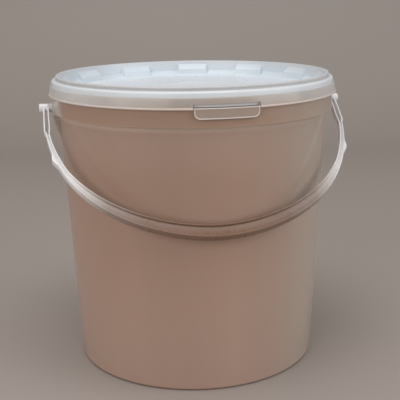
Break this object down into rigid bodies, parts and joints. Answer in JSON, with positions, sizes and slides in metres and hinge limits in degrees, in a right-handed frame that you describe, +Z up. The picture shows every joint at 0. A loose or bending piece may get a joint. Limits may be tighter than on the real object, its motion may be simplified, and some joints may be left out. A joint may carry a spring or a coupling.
{
  "type": "fermenting bucket",
  "caption": "Tapered translucent plastic fermenting bucket with a press-down lid, swinging bail handle and a pull-up tamper tab.",
  "frame": {"origin": "middle of the base, on the surface the pail stands on", "axes": "+Z up, +X along the bail handle's pivot axis, -Y the front where the bail rests and the tamper tab is"},
  "size_m": [0.288, 0.272, 0.2718],
  "materials": {
    "pail_plastic": "glossy translucent natural polypropylene",
    "lid_plastic": "satin white polypropylene",
    "handle_plastic": "satin translucent white",
    "tab_plastic": "glossy translucent natural polypropylene"
  },
  "bodies": {
    "pail": {"pail": "pail_plastic", "breakaway_nib_1": "tab_plastic", "breakaway_nib_2": "tab_plastic", "breakaway_nib_3": "tab_plastic", "breakaway_nib_4": "tab_plastic"},
    "lid": {"lid": "lid_plastic"},
    "bail": {"bail_handle": "handle_plastic"},
    "tab": {"tamper_tab": "tab_plastic"}
  },
  "joints": [
    {"name": "bail_swing", "type": "hinge", "parent": "pail", "child": "bail", "pos_m": [0, 0, 0.2425], "axis": [-1, 0, 0], "range_deg": [0, 250]},
    {"name": "lid_lift", "type": "slide", "parent": "pail", "child": "lid", "axis": [0, 0, 1], "range_m": [0, 0.08]},
    {"name": "tab_swing", "type": "hinge", "parent": "pail", "child": "tab", "pos_m": [0.00665, -0.1312, 0.2554], "axis": [-0.9987, -0.0506, 0], "range_deg": [0, 60]}
  ]
}
